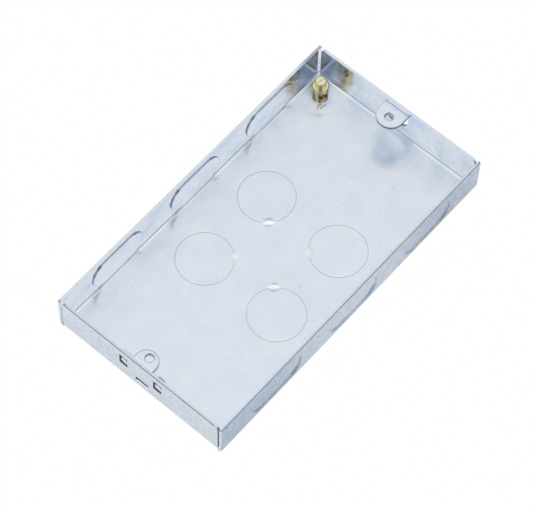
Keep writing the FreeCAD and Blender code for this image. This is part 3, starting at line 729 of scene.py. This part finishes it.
def zinc_rough(nodes, at):
    """Roughness of the zinc: bright walls, a duller base, and dull cuts."""
    rough = nodes.blend(at.on_base, ROUGH_WALL, ROUGH_BASE)
    rough = nodes.plus(rough, nodes.ramp(at.clouds, *CLOUDS_ROUGH))
    line_rough = nodes.blend(at.on_base, LINE_ROUGH_WALL, LINE_ROUGH_BASE)
    rough = nodes.plus(rough, nodes.product(line_rough, nodes.ramp(at.lines, *LINES_ROUGH)))
    return nodes.blend(nodes.largest(at.rim, at.cut, at.step), rough, ROUGH_CUT)


def zinc_relief(nodes, at):
    """Normal of the zinc: soft edges, press marks at the ties, slow waves and fine lines."""
    rise = nodes.product(at.near_bend, BEND_RISE)
    pressed = nodes.plus(rise, tie_facet(nodes, at.place, at.pressed_tie))
    waves = nodes.product(at.clouds, nodes.blend(at.on_base, WAVE_WALL, WAVE_BASE))
    fine = nodes.blend(nodes.others(at.on_base), nodes.product(at.lines, FINE_BASE), at.bands)
    normal = nodes.soft_edge(nodes.blend(at.on_base, SOFT_WALL, SOFT_BASE))
    for height, distance in ((pressed, MM), (waves, WAVE_HEIGHT), (fine, FINE_HEIGHT)):
        normal = nodes.bump(height, distance, normal)
    return normal


def make_zinc(groups):
    """Bright zinc on rolled steel sheet, with grey bare edges where it was cut, and painted shade, light and
    reflection on parts of the cut faces, the base and the walls.
    """
    material, nodes, shader = new_material("zinc_sheet")
    at = read_sheet(nodes, groups)
    nodes.feed(shader.inputs["Base Color"], zinc_tone(nodes, at))
    shader.inputs["Metallic"].default_value = 1.0
    nodes.feed(shader.inputs["Roughness"], zinc_rough(nodes, at))
    nodes.feed(shader.inputs["Normal"], zinc_relief(nodes, at))
    return material


def make_brass(name, groups, bright, dull, shade=None):
    """Turned brass between two tones. The function shade, if given, colours parts of it further."""
    material, nodes, shader = new_material(name)
    place, normal = place_in_mm(nodes, (TERMINAL.x, TERMINAL.y, 0.0))
    rings, stains = use_group(nodes, groups["turned_marks"], Place=place)
    tone = nodes.mix(nodes.ramp(stains, *STAINS_SHOWN), bright, dull)
    tone = nodes.mix(nodes.ramp(rings, *RINGS_SHOWN), tone, RING_BRASS)
    if shade:
        tone = shade(nodes, place, normal, tone)
    nodes.feed(shader.inputs["Base Color"], tone)
    shader.inputs["Metallic"].default_value = 1.0
    nodes.feed(shader.inputs["Roughness"], nodes.ramp(stains, *STAINS_ROUGH))
    nodes.feed(shader.inputs["Normal"], nodes.bump(rings, RING_HEIGHT, nodes.soft_edge(SOFT_BRASS)))
    return material


def shade_pillar(nodes, place, normal, tone):
    """Bright collar, painted shade in the wire hole and screw bore, and painted shade on the side towards the
    box's corner.
    """
    x, y, height = nodes.axes(place)
    collar = nodes.product(nodes.beyond(height, PILLAR_TOP - COLLAR_HEIGHT), COLLAR_SHARE)
    # Painted shade: inside the wire hole and the screw bore the brass is darkened to brown.
    recess_shade = nodes.product(
        nodes.fade(nodes.reach(x, y), *RECESS_FADE), nodes.below(height, PILLAR_TOP - SLACK),
        RECESS_SHARE)
    # Painted shade: the pillar's side towards the box's corner is greyed.
    cornerwards = nodes.vector("DOT_PRODUCT", normal, (DIAGONAL, DIAGONAL, 0.0))
    corner_side_shade = nodes.ramp(cornerwards, *CORNER_SIDE_SHADE_SHOWN)
    tone = nodes.mix(collar, tone, COLLAR_BRASS)
    tone = nodes.mix(recess_shade, tone, RECESS_SHADE_BROWN)
    return nodes.mix(corner_side_shade, tone, CORNER_SIDE_SHADE_GREY)


def dress(name, material):
    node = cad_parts[name]
    node.data.materials.clear()
    node.data.materials.append(material)


def new_piece(name, body, material):
    """Name the piece just made, dress it and let it ride on its body."""
    piece = bpy.context.object
    piece.name = name
    piece.data.name = name
    piece.data.materials.append(material)
    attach(piece, body)


def select_points(piece, chosen):
    """Enter edit mode with only the points selected that the function chosen accepts."""
    mesh = piece.data
    for part in (mesh.polygons, mesh.edges, mesh.vertices):
        part.foreach_set("select", [False] * len(part))
    for point in mesh.vertices:
        point.select = chosen(point.co / MM)
    bpy.ops.object.mode_set(mode="EDIT")
    bpy.ops.mesh.select_mode(type="VERT")


def make_tongue_front(name, edge, material):
    """Front of a lanced tongue: it lies in its window, joined at one edge, with its free end pushed in."""
    depth, length, height, drop = 0.5, 3.0, 1.8, 1.45
    middle = Vector((-END_X + depth / 2, edge + length / 2, TONGUE_TOP - drop))
    free_end_push, free_end_height = 0.15, 0.75
    top_lean = 0.28
    rounding, segments = 0.2, 3
    bpy.ops.object.select_all(action="DESELECT")
    bpy.ops.mesh.primitive_cube_add(
        size=1.0, location=middle * MM, scale=Vector((depth, length, height)) * MM)
    bpy.ops.object.transform_apply(location=True, rotation=True, scale=True)
    piece = bpy.context.object
    select_points(piece, lambda point: point.y > middle.y)
    bpy.ops.transform.translate(value=(free_end_push * MM, 0.0, 0.0))
    bpy.ops.transform.resize(value=(1.0, 1.0, free_end_height))
    bpy.ops.object.mode_set(mode="OBJECT")
    select_points(piece, lambda point: point.z > middle.z)
    bpy.ops.transform.translate(value=(top_lean * MM, 0.0, 0.0))
    bpy.ops.object.mode_set(mode="OBJECT")
    bpy.ops.object.modifier_add(type="BEVEL")
    bevel = piece.modifiers[-1]
    bevel.width = rounding * MM
    bevel.segments = segments
    bpy.ops.object.modifier_apply(modifier=bevel.name)
    bpy.ops.object.shade_smooth_by_angle(angle=SMOOTH_ANGLE)
    new_piece(name, "box", material)


def make_terminal_swell(material):
    """Shallow swell of the base at the foot of the terminal, on the side towards the middle of the box."""
    radius, sunk, sides = 5.5, 0.3, 96
    rings = ((0.55, 0.02), (1.0, 0.08), (1.0, 0.125), (1.0, 0.175), (0.5, 0.105), (0.5, 0.08))
    middle = Vector((*SWELL_MIDDLE[:2], SHEET - sunk / 2))
    bpy.ops.object.select_all(action="DESELECT")
    bpy.ops.mesh.primitive_cylinder_add(
        vertices=sides, radius=radius * MM, depth=sunk * MM, location=middle * MM)
    bpy.ops.object.transform_apply(location=True, rotation=True, scale=True)
    piece = bpy.context.object
    select_points(piece, lambda point: point.z > middle.z)
    bpy.ops.mesh.select_mode(type="FACE")
    for inwards, upwards in rings:
        bpy.ops.mesh.inset(thickness=inwards * MM, depth=upwards * MM)
    bpy.ops.object.mode_set(mode="OBJECT")
    bpy.ops.object.shade_smooth_by_angle(angle=SMOOTH_ANGLE)
    new_piece("terminal_swell", "box", material)


def make_screw_thread(material):
    """Thread of the terminal screw, from its tip to under its head."""
    pitch, core, crest = 0.5, 1.27, 1.5
    corners, steps = 4, 32
    tip_gap, head_gap, merged = 0.3, 0.35, 0.001
    low, high = SCREW_LOW + tip_gap, PILLAR_TOP - head_gap
    bpy.ops.object.select_all(action="DESELECT")
    bpy.ops.mesh.primitive_circle_add(vertices=corners, radius=(crest - core) * MM)
    piece = bpy.context.object
    bpy.ops.object.mode_set(mode="EDIT")
    bpy.ops.mesh.select_all(action="SELECT")
    bpy.ops.transform.rotate(value=math.pi / 2, orient_axis="X", center_override=(0.0, 0.0, 0.0))
    bpy.ops.transform.translate(value=(core * MM, 0.0, low * MM))
    bpy.ops.object.mode_set(mode="OBJECT")
    bpy.ops.object.modifier_add(type="SCREW")
    screw = piece.modifiers[-1]
    screw.angle = 2 * math.pi
    screw.screw_offset = pitch * MM
    screw.iterations = int((high - low) / pitch)
    screw.steps = steps
    screw.render_steps = steps
    screw.use_merge_vertices = False
    bpy.ops.object.modifier_apply(modifier=screw.name)
    bpy.ops.object.mode_set(mode="EDIT")
    bpy.ops.mesh.select_all(action="SELECT")
    bpy.ops.mesh.remove_doubles(threshold=merged * MM)
    bpy.ops.mesh.fill_holes(sides=corners)
    bpy.ops.mesh.select_all(action="SELECT")
    bpy.ops.mesh.normals_make_consistent(inside=False)
    bpy.ops.transform.translate(value=(TERMINAL.x * MM, TERMINAL.y * MM, 0.0))
    bpy.ops.object.mode_set(mode="OBJECT")
    bpy.ops.object.shade_smooth_by_angle(angle=SMOOTH_ANGLE)
    new_piece("screw_thread", "screw", material)


make_camera()
make_world()
make_floor()
groups = {
    "rolled_sheet": group_rolled_sheet(),
    "sheared_edges": group_sheared_edges(),
    "turned_marks": group_turned_marks(),
}
zinc = make_zinc(groups)
pillar_brass = make_brass("pillar_brass", groups, PILLAR_BRIGHT, PILLAR_DULL, shade_pillar)
screw_brass = make_brass("screw_brass", groups, SCREW_BRIGHT, SCREW_DULL)
dress("box_body", zinc)
dress("adjustable_lug", zinc)
dress("terminal_pillar", pillar_brass)
dress("terminal_screw", screw_brass)
for side, edge in zip(("right", "left"), WINDOW_EDGES):
    make_tongue_front(f"tongue_front_{side}", edge, zinc)
make_terminal_swell(zinc)
make_screw_thread(screw_brass)
bpy.context.scene.view_settings.view_transform = "Standard"
